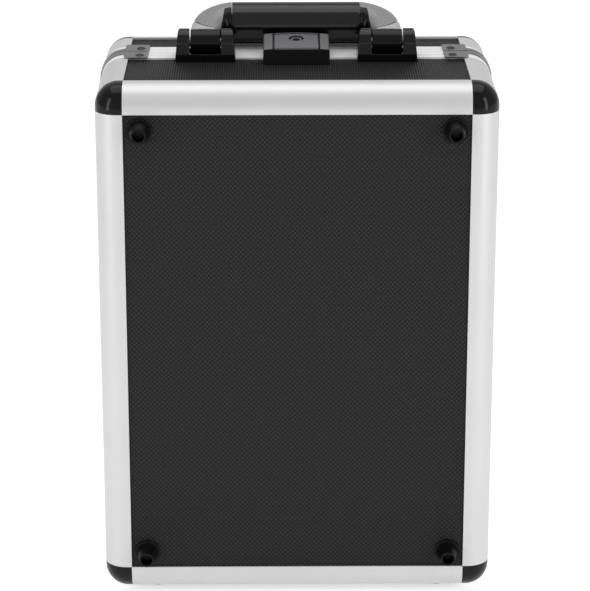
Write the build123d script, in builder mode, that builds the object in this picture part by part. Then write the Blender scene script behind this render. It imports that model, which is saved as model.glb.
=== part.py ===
from build123d import *
import math
import os

# Sampler case: an aluminium-framed case in two halves, standing on its hinge side.
# X runs across the width, -Y is the front with the tall feet, +Z is up to the handle.
# The origin is on the ground, below the middle of the whole box. Millimetres.

os.makedirs("parts", exist_ok=True)

# Case body
case_width = 326.0
case_height = 440.0
base_depth = 122.0
lid_depth = 78.0
seam_gap = 0.6

# Edge extrusions
edge_leg = 23.0
edge_radius = 19.5
edge_wall = 1.5
inner_wall = 1.2
slot_depth = 6.0

# Panels
panel_thickness = 5.0
panel_play = 0.1
panel_end_play = 1.2

# Closing profiles round the rims
profile_width = 20.0
tongue_inset = 3.2
tongue_wall = 1.6
tongue_reach = 4.0
tongue_play = 1.0
groove_width = 0.9
groove_depth = 0.5
groove_place = 9.5

# Plastic corners
prong_length = 12.0
prong_play = 0.25

# Steel corner braces at the seam
brace_thickness = 1.2
brace_plate = 20.0
brace_overhang = 3.5
brace_strip = 8.0
brace_seam_setback = 1.0
brace_corner = 2.5
rivet_head_radius = 3.8
rivet_head_height = 1.5
rivet_shank_radius = 1.6
rivet_length = 2.5
rivet_inset = 7.0
base_rivet_from_seam = 15.5
lid_rivet_from_seam = 9.5

# Tall rubber feet on the front
foot_inset = 36.5
foot_height = 17.5
foot_flange_radius = 10.7
foot_flange_height = 2.2
foot_root_radius = 9.0
foot_tip_radius = 6.1
foot_recess_radius = 4.6
foot_recess_depth = 11.0
foot_screw_radius = 2.0
foot_screw_head_radius = 3.9
foot_screw_head_height = 2.4
foot_screw_length = 12.5

# Low feet on the hinge side
stand_height = 8.0
low_foot_radius = 8.7
low_foot_tip_radius = 8.2
low_foot_x = 120.0
low_foot_from_front = 40.0
low_foot_edge_gap = 0.2

# Hinges
hinge_x = 88.0
hinge_length = 50.0
hinge_leaf = 17.0
hinge_leaf_thickness = 1.5
hinge_barrel_radius = 3.0
hinge_barrel_gap = 0.2
hinge_pin_radius = 1.5
hinge_knuckles = 5
hinge_play = 0.4
running_play = 0.05
seat_play = 0.02

# Handle brackets and pivots
bracket_x = 75.5
bracket_width = 50.4
bracket_top_width = 45.4
bracket_gap = 26.6
bracket_front = 92.5
bracket_back = 121.0
bracket_base_height = 6.5
pivot_from_front = 105.0
pivot_height = 13.1
ear_radius = 11.0
ear_corner = 2.5
handle_pin_radius = 3.0
handle_pin_recess = 0.8
stop_depth = 3.5
stop_play = 0.65
bracket_screw_radius = 1.9
bracket_screw_head_radius = 3.4
bracket_screw_head_height = 1.3
bracket_screw_x = 18.0
bracket_screw_from_front = 5.0
bracket_screw_reach = 7.0

# Handle
handle_reach = 43.5
handle_lean = 81.5
grip_radius = 17.5
grip_half_length = 54.3
knuckle_radius = 10.4
knuckle_width = 24.6
knuckle_play = 0.4
arm_start = 3.0
arm_straight = 14.0
arm_thickness = 20.6
elbow_turn = 19.0
cap_wall = 2.4
cap_corner = 7.5
cap_slit = 1.3
core_play = 0.2
core_bar_radius = 7.0
grip_end_gap = 0.5
parting_radius = 24.6
parting_centre = 30.5
parting_offset = 14.4
parting_end = 18.0
gusset_top = 37.5
gusset_top_x = 59.9
gusset_bottom = 12.0
gusset_wall = 0.8
gusset_play = 0.25

# Lock
lock_half_width = 27.5
lock_front = 83.0
lock_front_slope = 2.5
lock_back = 121.3
lock_front_height = 11.9
lock_slope = 8.1
lock_crown = 270.0
lock_corner = 1.8
lock_rear_wall = 2.9
lock_floor = 1.8
flap_half_width = 19.3
flap_play = 0.4
flap_back = 121.0
flap_groove_from_back = 2.4
flap_groove_width = 0.7
flap_groove_depth = 0.6
flap_front_step = 1.2
flap_thickness = 4.0
flap_pin_from_front = 90.5
flap_nose_radius = 4.4
flap_pin_radius = 1.6
hook_half_width = 8.0
hook_thickness = 1.5
hook_front = 97.0
hook_nose_from_seam = 3.0
hook_nose_depth = 2.4
strike_thickness = 1.0
strike_half_width = 16.0
strike_setback = 0.8
strike_depth = 12.0
strike_slot_half_width = 9.2
strike_slot_play = 0.6
strike_slot_swing = 2.0
strike_rivet_x = 12.5
strike_rivet_from_seam = 9.5
lock_rivet_x = 13.5
lock_rear_rivet_from_front = 113.0
lock_front_rivet_from_front = 97.0
key_from_front = 108.0
key_head_radius = 4.8
key_dish_radius = 5.9
key_dish_depth = 1.0
key_shank_radius = 4.4
key_head_height = 2.2
key_length = 7.6
key_slot_length = 6.0
key_slot_width = 1.4
cam_reach = 8.0
cam_width = 5.0
cam_thickness = 1.4
cam_ledge_x = 5.4
ledge_thickness = 1.5
ledge_play = 0.35

# Foam lining
foam_play = 0.3
foam_wall = 18.0
foam_floor = 20.0
foam_rim_setback = 3.0
least_corner = 6.0
lid_foam_floor = 14.0

# Places worked out from the sizes above
half_width = case_width / 2
case_depth = base_depth + lid_depth
foot_reach = foot_height - edge_wall
front_y = -(case_depth - foot_reach) / 2
seam_y = front_y + base_depth
back_y = front_y + case_depth
bottom_z = stand_height
top_z = bottom_z + case_height
mid_z = (bottom_z + top_z) / 2
middle = Plane(origin=(0, (front_y + back_y) / 2, 0), x_dir=(1, 0, 0), z_dir=(0, 1, 0))
slot_far = edge_wall + panel_thickness + 2 * panel_play
lining_inset = slot_far + inner_wall
slot_end = edge_leg - slot_depth
base_rim = seam_y - profile_width
lid_rim = seam_y + profile_width
side_signs = (-1, 1)


def save(piece, name):
    """Gives the finished piece its name and writes it out."""
    piece.part.label = name
    export_step(piece.part, f"parts/{name}.step")
    return piece


def block(low, high):
    """A plain box from its low corner to its high corner."""
    size = [high[i] - low[i] for i in range(3)]
    centre = [(high[i] + low[i]) / 2 for i in range(3)]
    with BuildPart() as piece:
        with Locations(tuple(centre)):
            Box(*size)
    return piece


def mirrored(piece):
    """The same piece on the other half of the case, mirrored front to back."""
    with BuildPart() as twin:
        mirror(piece.part, about=middle)
    return twin


def edge_plane(origin, inward_a, inward_b):
    """A plane across an edge of the case, with both sketch axes pointing inwards."""
    return Plane(origin=origin, x_dir=inward_a, z_dir=Vector(*inward_a).cross(Vector(*inward_b)))


def lobes(play):
    """The two hollows inside the edge extrusion, smaller all round by the play."""
    inner_radius = edge_radius - edge_wall - play
    far = slot_far - play
    top = slot_end - inner_wall - play
    start = edge_radius - math.sqrt(inner_radius**2 - (edge_radius - far) ** 2)
    end = edge_radius - math.sqrt(inner_radius**2 - (edge_radius - top) ** 2)
    with BuildSketch() as hollows:
        with BuildLine():
            line = Polyline((far, start), (far, top), (end, top))
            RadiusArc(line @ 1, line @ 0, -inner_radius)
        make_face()
        mirror(about=Plane(origin=(0, 0, 0), z_dir=(1, -1, 0)))
    return hollows.sketch


hollow_section = lobes(0.05)
prong_section = lobes(prong_play)


def edge_extrusion(plane, length):
    """An aluminium edge: rounded outside, a panel slot in each leg, two hollows."""
    with BuildPart() as piece:
        with BuildSketch(plane):
            with BuildLine():
                Polyline(
                    (edge_radius, 0),
                    (edge_leg, 0),
                    (edge_leg, edge_wall),
                    (slot_end, edge_wall),
                    (slot_end, slot_far),
                    (edge_leg, slot_far),
                    (edge_leg, lining_inset),
                    (lining_inset, lining_inset),
                    (lining_inset, edge_leg),
                    (slot_far, edge_leg),
                    (slot_far, slot_end),
                    (edge_wall, slot_end),
                    (edge_wall, edge_leg),
                    (0, edge_leg),
                    (0, edge_radius),
                )
                RadiusArc((0, edge_radius), (edge_radius, 0), -edge_radius)
            make_face()
            add(hollow_section, mode=Mode.SUBTRACT)
        extrude(amount=length / 2, both=True)
    return piece


# The four edges round the front face, and their twins round the back of the lid
across = case_width - 2 * edge_leg
upright = case_height - 2 * edge_leg
front_edges = {
    "top": (edge_plane((0, front_y, top_z), (0, 1, 0), (0, 0, -1)), across),
    "bottom": (edge_plane((0, front_y, bottom_z), (0, 1, 0), (0, 0, 1)), across),
    "left": (edge_plane((-half_width, front_y, mid_z), (0, 1, 0), (1, 0, 0)), upright),
    "right": (edge_plane((half_width, front_y, mid_z), (0, 1, 0), (-1, 0, 0)), upright),
}
for side, (plane, length) in front_edges.items():
    base_edge = save(edge_extrusion(plane, length), f"base_edge_{side}")
    save(mirrored(base_edge), f"lid_edge_{side}")


def side_edges(y_low, y_high):
    """The four edges that run from a face of the case to the rim profile."""
    corners = [(sx, z, sz) for sx in side_signs for z, sz in ((bottom_z, 1), (top_z, -1))]
    with BuildPart() as pieces:
        for sx, z, sz in corners:
            origin = (sx * half_width, (y_low + y_high) / 2, z)
            add(edge_extrusion(edge_plane(origin, (-sx, 0, 0), (0, 0, sz)), y_high - y_low).part)
    return pieces


save(side_edges(front_y + edge_leg, base_rim), "base_side_edges")
save(side_edges(lid_rim, back_y - edge_leg), "lid_side_edges")


def blind_rivet(place, turn, length=rivet_length):
    """A domed rivet with its shank, pointing along the turned +Z."""
    dome = (rivet_head_radius**2 + rivet_head_height**2) / (2 * rivet_head_height)
    with BuildPart() as rivet:
        with Locations((0, 0, rivet_head_height - dome)):
            Sphere(dome)
        with Locations((0, 0, -dome)):
            Box(4 * dome, 4 * dome, 2 * dome, mode=Mode.SUBTRACT)
        with Locations((0, 0, -length / 2)):
            Cylinder(rivet_shank_radius, length)
    return rivet.part.moved(Location(place, turn))


def rivet_hole(place, turn, depth):
    """The hole for a rivet's shank, through what lies under its head."""
    with BuildPart() as hole:
        Cylinder(rivet_shank_radius + seat_play, 2 * depth)
    return hole.part.moved(Location(place, turn))


def rivet_line(direction):
    """The Y of the brace rivets: the base and the lid have them at their own distance."""
    return seam_y - base_rivet_from_seam if direction > 0 else seam_y + lid_rivet_from_seam


def brace_rivets(direction):
    """Where the rivets of one half's corner braces stand, and which way they point."""
    y = rivet_line(direction)
    along = half_width - edge_radius - brace_plate + rivet_inset
    up = edge_radius + brace_plate - rivet_inset
    spots = []
    for sx in side_signs:
        side = sx * (half_width + brace_thickness)
        spots.append(((sx * along, y, top_z + brace_thickness), (0, 0, 0)))
        spots.append(((sx * along, y, bottom_z - brace_thickness), (180, 0, 0)))
        spots.append(((side, y, top_z - up), (0, 90 * sx, 0)))
        spots.append(((side, y, bottom_z + up), (0, 90 * sx, 0)))
    return spots


def hinge_rivets(direction):
    """Where the rivets of one half's hinge leaves stand."""
    y = seam_y + direction * hinge_leaf / 2
    z = bottom_z - hinge_leaf_thickness
    places = [sx * hinge_x + rivet * hinge_length / 3 for sx in side_signs for rivet in side_signs]
    return [((x, y, z), (180, 0, 0)) for x in places]


def rim_ring(outer, inner, y_low, y_high):
    """A rounded ring that follows the case outline, between two insets and two depths."""
    plane = Plane(origin=(0, y_low, mid_z), x_dir=(1, 0, 0), z_dir=(0, 1, 0))
    with BuildPart() as ring:
        with BuildSketch(plane):
            RectangleRounded(case_width - 2 * outer, case_height - 2 * outer, edge_radius - outer)
            RectangleRounded(
                case_width - 2 * inner,
                case_height - 2 * inner,
                max(edge_radius - inner, least_corner),
                mode=Mode.SUBTRACT,
            )
        extrude(amount=y_high - y_low)
    return ring.part


def spans(y_start, direction, near, far):
    """Two distances from the rim profile's outer end as a low and a high Y."""
    return sorted((y_start + direction * near, y_start + direction * far))


def closing_profile(y_start, direction, has_tongue):
    """The profile round a rim: it grips the side panels and meets the other half at the seam."""
    reach = profile_width - seam_gap / 2
    channel = 0 if has_tongue else tongue_reach + tongue_play
    with BuildPart() as profile:
        add(rim_ring(0, edge_wall, *spans(y_start, direction, 0, reach)))
        add(rim_ring(slot_far, lining_inset, *spans(y_start, direction, 0, reach)))
        add(rim_ring(edge_wall, slot_far, *spans(y_start, direction, slot_depth, slot_depth + inner_wall)))
        seat = reach - channel
        add(rim_ring(edge_wall, slot_far, *spans(y_start, direction, seat - edge_wall, seat)))
        if has_tongue:
            tongue = rim_ring(
                tongue_inset,
                tongue_inset + tongue_wall,
                *spans(y_start, direction, reach, reach + tongue_reach),
            )
            add(tongue)
        line = spans(y_start, direction, groove_place, groove_place + groove_width)
        add(rim_ring(-1, groove_depth, *line), mode=Mode.SUBTRACT)
    return profile


strike_z = top_z + strike_thickness
strike_rivets = [
    ((sx * strike_rivet_x, seam_y + strike_rivet_from_seam, strike_z), (0, 0, 0)) for sx in side_signs
]
lock_rear_rivets = [
    ((sx * lock_rivet_x, front_y + lock_rear_rivet_from_front, top_z + lock_floor), (0, 0, 0))
    for sx in side_signs
]
lock_front_rivets = [
    ((sx * lock_rivet_x, front_y + lock_front_rivet_from_front, top_z + lock_floor), (0, 0, 0))
    for sx in side_signs
]
with BuildPart() as base_closing_profile:
    add(closing_profile(base_rim, 1, True).part)
    for place, turn in brace_rivets(1) + hinge_rivets(-1) + lock_rear_rivets:
        add(rivet_hole(place, turn, rivet_length + lock_floor), mode=Mode.SUBTRACT)
save(base_closing_profile, "base_closing_profile")
nose_front_y = seam_y + hook_nose_from_seam
slot_front_y = nose_front_y - strike_slot_play
slot_back_y = nose_front_y + hook_thickness + strike_slot_swing
with BuildPart() as lid_closing_profile:
    add(closing_profile(lid_rim, -1, False).part)
    for place, turn in brace_rivets(-1) + hinge_rivets(1) + strike_rivets:
        add(rivet_hole(place, turn, rivet_length), mode=Mode.SUBTRACT)
    with Locations((0, (slot_front_y + slot_back_y) / 2, top_z)):
        Box(2 * strike_slot_half_width, slot_back_y - slot_front_y, 2 * edge_wall, mode=Mode.SUBTRACT)
save(lid_closing_profile, "lid_closing_profile")

# Panels, each held on four sides
panel_side = half_width - slot_end - panel_end_play
panel_low = bottom_z + slot_end + panel_end_play
panel_high = top_z - slot_end - panel_end_play
face_out = edge_wall + panel_play
face_in = face_out + panel_thickness
front_panel = block(
    (-panel_side, front_y + face_out, panel_low), (panel_side, front_y + face_in, panel_high)
)
save(mirrored(front_panel), "lid_top_panel")


def side_panels(half, y_low, y_high):
    """The four panels between a face and the rim profile of one half."""
    low, high = y_low + panel_end_play, y_high - panel_end_play
    places = {
        "handle_side": ((-panel_side, low, top_z - face_in), (panel_side, high, top_z - face_out)),
        "hinge_side": ((-panel_side, low, bottom_z + face_out), (panel_side, high, bottom_z + face_in)),
        "left": ((-half_width + face_out, low, panel_low), (-half_width + face_in, high, panel_high)),
        "right": ((half_width - face_in, low, panel_low), (half_width - face_out, high, panel_high)),
    }
    panels = {}
    for side, (corner_low, corner_high) in places.items():
        panels[side] = save(block(corner_low, corner_high), f"{half}_{side}_panel")
    return panels


base_panels = side_panels("base", front_y + slot_end, base_rim + slot_depth)
side_panels("lid", lid_rim - slot_depth, back_y - slot_end)


def case_corner():
    """A moulded corner: a rounded shell, open inside, with prongs for the three edges."""
    face_planes = (Plane.XY, Plane.YZ, Plane.ZX)
    with BuildPart() as corner:
        Box(edge_leg, edge_leg, edge_leg, align=Align.MIN)
        outer = corner.edges().filter_by(
            lambda edge: all(abs(c) < edge_leg / 2 + 0.01 for c in edge.center())
            and edge.center().length < edge_leg
        )
        fillet(outer, edge_radius)
        inside = edge_leg - lining_inset
        with Locations((edge_leg - inside, edge_leg - inside, edge_leg - inside)):
            Box(inside, inside, inside, align=Align.MIN, mode=Mode.SUBTRACT)
        for plane in face_planes:
            with BuildSketch(plane.offset(edge_wall)):
                with Locations((slot_end, slot_end)):
                    Rectangle(slot_depth, slot_depth, align=Align.MIN)
            extrude(amount=slot_far - edge_wall, mode=Mode.SUBTRACT)
        for plane in face_planes:
            with BuildSketch(plane.offset(edge_leg)):
                add(prong_section)
            extrude(amount=prong_length)
    return corner


corner_piece = case_corner()
corner_turns = ((-1, bottom_z, 0), (-1, top_z, 90), (1, top_z, 180), (1, bottom_z, 270))
with BuildPart() as base_corners:
    for sx, z, turn in corner_turns:
        add(corner_piece.part.moved(Location((sx * half_width, front_y, z), (0, turn, 0))))
save(base_corners, "base_corners")
save(mirrored(base_corners), "lid_corners")


def corner_brace(sx, sz, direction):
    """A steel brace bent round a corner of the rim: two plates joined by a narrow strip."""
    z = top_z if sz > 0 else bottom_z
    straight = edge_radius + brace_plate
    seam_side = seam_y - direction * brace_seam_setback
    far_side = seam_y - direction * (profile_width + brace_overhang)
    strip_side = seam_side - direction * brace_strip
    plate_low, plate_high = sorted((seam_side, far_side))
    strip_low, strip_high = sorted((seam_side, strip_side))
    with BuildPart() as brace:
        plane = Plane(origin=(0, plate_low, mid_z), x_dir=(1, 0, 0), z_dir=(0, 1, 0))
        with BuildSketch(plane):
            RectangleRounded(
                case_width + 2 * brace_thickness,
                case_height + 2 * brace_thickness,
                edge_radius + brace_thickness,
            )
            RectangleRounded(case_width, case_height, edge_radius, mode=Mode.SUBTRACT)
        extrude(amount=plate_high - plate_low)
        with Locations((sx * half_width, (plate_low + plate_high) / 2, z)):
            Box(2 * straight, 2 * profile_width + 20, 2 * straight, mode=Mode.INTERSECT)
        notch = edge_radius + brace_thickness
        cut_low, cut_high = sorted((strip_side, far_side))
        cut_middle = (cut_low + cut_high) / 2
        with Locations((sx * (half_width + brace_thickness), cut_middle, z + sz * brace_thickness)):
            Box(2 * notch, cut_high - cut_low, 2 * notch, mode=Mode.SUBTRACT)
        rivet_y = rivet_line(direction)
        with Locations((sx * (half_width - straight + rivet_inset), rivet_y, z)):
            Cylinder(rivet_shank_radius + seat_play, 4 * brace_thickness, mode=Mode.SUBTRACT)
        with Locations((sx * half_width, rivet_y, z - sz * (straight - rivet_inset))):
            Cylinder(
                rivet_shank_radius + seat_play,
                4 * brace_thickness,
                rotation=(0, 90, 0),
                mode=Mode.SUBTRACT,
            )
        corners = brace.edges().filter_by(lambda edge: abs(edge.length - brace_thickness) < 0.001)
        fillet(corners.filter_by(GeomType.LINE), brace_corner)
    return brace


def brace_set(direction):
    """The four braces of one half."""
    with BuildPart() as braces:
        for sx in side_signs:
            for sz in side_signs:
                add(corner_brace(sx, sz, direction).part)
    return braces


def rivet_set(spots):
    """One rivet on each of the given spots."""
    with BuildPart() as rivets:
        for place, turn in spots:
            add(blind_rivet(place, turn))
    return rivets


save(brace_set(1), "base_corner_braces")
save(brace_set(-1), "lid_corner_braces")
save(rivet_set(brace_rivets(1) + hinge_rivets(-1)), "base_rivets")
save(rivet_set(brace_rivets(-1) + hinge_rivets(1) + strike_rivets), "lid_rivets")

# Tall rubber feet on the front panel, each with its screw
foot_places = {
    f"{level}_{side}": (sx * (half_width - foot_inset), z)
    for level, z in (("upper", top_z - foot_inset), ("lower", bottom_z + foot_inset))
    for side, sx in (("left", -1), ("right", 1))
}
foot_face_y = front_y + face_out


def tall_foot(x, z):
    """A hollow rubber cone on a flange, standing out of the front panel."""
    plane = Plane(origin=(x, foot_face_y, z), x_dir=(1, 0, 0), z_dir=(0, -1, 0))
    with BuildPart() as foot:
        with BuildSketch(plane):
            Circle(foot_flange_radius)
        extrude(amount=foot_flange_height)
        with BuildSketch(plane.offset(foot_flange_height)):
            Circle(foot_root_radius)
        with BuildSketch(plane.offset(foot_height + face_out - edge_wall)):
            Circle(foot_tip_radius)
        loft()
        with BuildSketch(plane.offset(foot_height + face_out - edge_wall)):
            Circle(foot_recess_radius)
        extrude(amount=-foot_recess_depth, mode=Mode.SUBTRACT)
        with BuildSketch(plane):
            Circle(foot_screw_radius + seat_play)
        extrude(amount=foot_height, mode=Mode.SUBTRACT)
        flange_rim = foot.edges().filter_by(GeomType.CIRCLE).sort_by(SortBy.RADIUS)[-2:]
        fillet(flange_rim.sort_by(Axis.Y)[0], foot_flange_height / 3)
    return foot


for place, (x, z) in foot_places.items():
    save(tall_foot(x, z), f"foot_{place}")
foot_seat_y = foot_face_y - (foot_height + face_out - edge_wall - foot_recess_depth)
with BuildPart() as foot_screws:
    for x, z in foot_places.values():
        head_plane = Plane(origin=(x, foot_seat_y, z), x_dir=(1, 0, 0), z_dir=(0, 1, 0))
        with BuildSketch(head_plane):
            Circle(foot_screw_head_radius)
        extrude(amount=-foot_screw_head_height)
        with BuildSketch(head_plane):
            Circle(foot_screw_radius)
        extrude(amount=foot_screw_length)
save(foot_screws, "foot_screws")

# Holes for the foot screws in the front panel
with BuildPart() as base_bottom_panel:
    add(front_panel.part)
    for x, z in foot_places.values():
        with Locations((x, front_y + face_out, z)):
            Cylinder(
                foot_screw_radius + seat_play,
                4 * panel_thickness,
                rotation=(90, 0, 0),
                mode=Mode.SUBTRACT,
            )
save(base_bottom_panel, "base_bottom_panel")


def low_feet(y):
    """The two low rubber feet of one half, on its hinge side."""
    with BuildPart() as feet:
        for sx in side_signs:
            plane = Plane(origin=(sx * low_foot_x, y, bottom_z + face_out), z_dir=(0, 0, -1))
            with BuildSketch(plane):
                Circle(low_foot_radius)
            with BuildSketch(plane.offset(stand_height + face_out)):
                Circle(low_foot_tip_radius)
            loft()
    return feet


save(low_feet(front_y + low_foot_from_front), "base_low_feet")
save(low_feet(back_y - edge_leg - low_foot_radius - low_foot_edge_gap), "lid_low_feet")

# Hinges: two, each with alternating knuckles on one pin
hinge_axis_z = bottom_z - hinge_barrel_radius - hinge_barrel_gap
knuckle_length = hinge_length / hinge_knuckles


def hinge_leaves(direction, first):
    """The two leaves of one half, with every second knuckle of each barrel."""
    low, high = sorted((seam_y, seam_y + direction * hinge_leaf))
    with BuildPart() as leaves:
        for sx in side_signs:
            start = sx * hinge_x - hinge_length / 2
            with Locations((sx * hinge_x, (low + high) / 2, bottom_z - hinge_leaf_thickness / 2)):
                Box(hinge_length, high - low, hinge_leaf_thickness)
            for knuckle in range(hinge_knuckles):
                centre = start + (knuckle + 0.5) * knuckle_length
                own = knuckle % 2 == first
                with Locations((centre, seam_y, hinge_axis_z)):
                    if own:
                        Cylinder(hinge_barrel_radius, knuckle_length - hinge_play, rotation=(0, 90, 0))
                    else:
                        Cylinder(
                            hinge_barrel_radius + hinge_play,
                            knuckle_length + hinge_play,
                            rotation=(0, 90, 0),
                            mode=Mode.SUBTRACT,
                        )
            with Locations((sx * hinge_x, seam_y, hinge_axis_z)):
                Cylinder(
                    hinge_pin_radius + running_play,
                    hinge_length + 2,
                    rotation=(0, 90, 0),
                    mode=Mode.SUBTRACT,
                )
            for rivet in side_signs:
                with Locations((sx * hinge_x + rivet * hinge_length / 3, (low + high) / 2, bottom_z)):
                    Cylinder(
                        rivet_shank_radius + seat_play, 4 * hinge_leaf_thickness, mode=Mode.SUBTRACT
                    )
    return leaves


save(hinge_leaves(-1, 0), "base_hinge_leaves")
save(hinge_leaves(1, 1), "lid_hinge_leaves")
with BuildPart() as hinge_pins:
    for sx in side_signs:
        with Locations((sx * hinge_x, seam_y, hinge_axis_z)):
            Cylinder(hinge_pin_radius, hinge_length, rotation=(0, 90, 0))
save(hinge_pins, "hinge_pins")

# Handle brackets on the handle side of the base
pivot_y = front_y + pivot_from_front
pivot_z = top_z + pivot_height
bracket_front_y = front_y + bracket_front
bracket_back_y = front_y + bracket_back
bracket_low = top_z - face_out
lip_z = bracket_low + bracket_base_height
floor_z = pivot_z - knuckle_radius - knuckle_play
bracket_screw_y = bracket_front_y + bracket_screw_from_front
bracket_screw_places = [
    sx * bracket_x + hole * bracket_screw_x for sx in side_signs for hole in side_signs
]


def handle_bracket(sx):
    """A clevis with two tapered ears round the handle's knuckle, a front lip and a rear stop."""
    centre = sx * bracket_x
    ear_top = pivot_z + ear_radius
    with BuildPart() as bracket:
        front_plane = Plane(origin=(centre, bracket_front_y, 0), x_dir=(1, 0, 0), z_dir=(0, -1, 0))
        with BuildSketch(front_plane) as front_view:
            with BuildLine():
                Polyline(
                    (-bracket_width / 2, bracket_low),
                    (bracket_width / 2, bracket_low),
                    (bracket_top_width / 2, ear_top),
                    (-bracket_top_width / 2, ear_top),
                    close=True,
                )
            make_face()
            fillet(front_view.vertices().group_by(Axis.Y)[-1], ear_corner)
        extrude(amount=-(bracket_back - bracket_front))
        side_plane = Plane(origin=(centre, 0, 0), x_dir=(0, 1, 0), z_dir=(1, 0, 0))
        with BuildSketch(side_plane):
            with BuildLine():
                ears = Polyline(
                    (pivot_y - ear_radius, pivot_z),
                    (bracket_front_y, lip_z),
                    (bracket_front_y, bracket_low),
                    (bracket_back_y, bracket_low),
                    (bracket_back_y, lip_z),
                    (pivot_y + ear_radius, pivot_z),
                )
                ThreePointArc(ears @ 1, (pivot_y, pivot_z + ear_radius), ears @ 0)
            make_face()
        extrude(amount=bracket_width, both=True, mode=Mode.INTERSECT)
        gap_low, gap_high = centre - bracket_gap / 2, centre + bracket_gap / 2
        with Locations((centre, pivot_y, pivot_z)):
            Cylinder(
                knuckle_radius + knuckle_play, bracket_gap, rotation=(0, 90, 0), mode=Mode.SUBTRACT
            )
        above = block((gap_low, bracket_front_y - 1, lip_z), (gap_high, bracket_back_y + 1, ear_top + 1))
        behind = block((gap_low, pivot_y, floor_z), (gap_high, bracket_back_y + 1, ear_top))
        add(above.part, mode=Mode.SUBTRACT)
        add(behind.part, mode=Mode.SUBTRACT)
        stop_low = (gap_low, bracket_back_y - stop_depth, floor_z)
        add(block(stop_low, (gap_high, bracket_back_y, arm_underside_z(bracket_back_y) - stop_play)).part)
        step = block((-half_width, base_rim, bracket_low - 1), (half_width, bracket_back_y + 1, top_z))
        add(step.part, mode=Mode.SUBTRACT)
        with Locations((centre, pivot_y, pivot_z)):
            Cylinder(
                handle_pin_radius + seat_play, 2 * bracket_width, rotation=(0, 90, 0), mode=Mode.SUBTRACT
            )
        for hole in side_signs:
            with Locations((centre + hole * bracket_screw_x, bracket_screw_y, bracket_low)):
                Cylinder(bracket_screw_radius + seat_play, 2 * bracket_screw_reach + 1, mode=Mode.SUBTRACT)
    return bracket


lean = math.radians(handle_lean)
reach_dir = Vector(0, math.sin(lean), math.cos(lean))
handle_up = Vector(0, -math.cos(lean), math.sin(lean))
handle_plane = Plane(origin=(0, pivot_y, pivot_z), x_dir=(1, 0, 0), z_dir=handle_up)


def arm_underside_z(y):
    """Height of the folded arm's underside where it passes over a given Y."""
    along = (y - pivot_y - arm_thickness / 2 * math.cos(lean)) / math.sin(lean)
    swell = (grip_radius - arm_thickness / 2) * max(0, along - arm_straight) / (handle_reach - arm_straight)
    return pivot_z + along * math.cos(lean) - (arm_thickness / 2 + swell) * math.sin(lean)


for side, sx in (("left", -1), ("right", 1)):
    save(handle_bracket(sx), f"handle_bracket_{side}")
    with BuildPart() as handle_pin:
        with Locations((sx * bracket_x, pivot_y, pivot_z)):
            Cylinder(
                handle_pin_radius, bracket_top_width - 2 * handle_pin_recess, rotation=(0, 90, 0)
            )
    save(handle_pin, f"handle_pin_{side}")
with BuildPart() as bracket_screws:
    for x in bracket_screw_places:
        head_plane = Plane(origin=(x, bracket_screw_y, top_z - face_in))
        with BuildSketch(head_plane):
            Circle(bracket_screw_head_radius)
        extrude(amount=-bracket_screw_head_height)
        with BuildSketch(head_plane):
            Circle(bracket_screw_radius)
        extrude(amount=panel_thickness + bracket_screw_reach)
save(bracket_screws, "bracket_screws")


def arm_path(sx):
    """The middle line of one elbow: a wide arc off the straight arm, then a tighter one into the grip."""
    inward = bracket_x - grip_half_length
    rise = handle_reach - arm_straight
    first_turn = (inward**2 + rise**2 - 2 * rise * elbow_turn) / (2 * (inward - elbow_turn))
    first_angle = math.atan2(rise - elbow_turn, first_turn - inward)
    join_x = bracket_x - first_turn * (1 - math.cos(first_angle))
    join_v = arm_straight + first_turn * math.sin(first_angle)
    with BuildLine(handle_plane) as path:
        RadiusArc((sx * bracket_x, arm_straight), (sx * join_x, join_v), -sx * first_turn)
        RadiusArc((sx * join_x, join_v), (sx * grip_half_length, handle_reach), -sx * elbow_turn)
    return path.line


def arm_solid(sx, shrink):
    """One arm: straight at the pivot, swelling through the elbow; smaller all round by the shrink."""
    path = arm_path(sx)
    start = Plane(origin=path @ 0, x_dir=(1, 0, 0), z_dir=path % 0)
    with BuildPart() as arm:
        with BuildSketch(start):
            RectangleRounded(
                knuckle_width - 2 * shrink, arm_thickness - 2 * shrink, cap_corner - shrink
            )
        with BuildSketch(Plane(origin=path @ 1, x_dir=handle_up, z_dir=path % 1)):
            RectangleRounded(
                2 * (grip_radius - shrink), 2 * (grip_radius - shrink), grip_radius - shrink - 0.1
            )
        sweep(path=path, multisection=True)
        with BuildSketch(start):
            RectangleRounded(
                knuckle_width - 2 * shrink, arm_thickness - 2 * shrink, cap_corner - shrink
            )
        extrude(amount=arm_start - arm_straight)
    return arm


def arm_region(sx, points):
    """A prism across the handle, from an outline given for the right arm."""
    with BuildPart() as region:
        with BuildSketch(handle_plane):
            with BuildLine():
                Polyline(*[(sx * x, v) for x, v in points], close=True)
            make_face()
        extrude(amount=2 * grip_radius, both=True)
    return region.part


def elbow_region(sx, grow):
    """The prism that holds the elbow moulding, bounded by the curved parting line."""
    outer = bracket_x + knuckle_width
    centre = (bracket_x - parting_offset, parting_centre)
    radius = parting_radius + grow
    spots = []
    for degrees in (parting_end, (parting_end - 90) / 2, -90):
        turn = math.radians(degrees)
        spots.append((sx * (centre[0] + radius * math.cos(turn)), centre[1] + radius * math.sin(turn)))
    with BuildPart() as region:
        with BuildSketch(handle_plane):
            with BuildLine():
                ThreePointArc(*spots)
                far = handle_reach + 2 * grip_radius
                low, high = spots[2][1], spots[0][1]
                Polyline(spots[2], (0, low), (0, far), (sx * outer, far), (sx * outer, high), spots[0])
            make_face()
        extrude(amount=2 * grip_radius, both=True)
    return region.part


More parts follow.
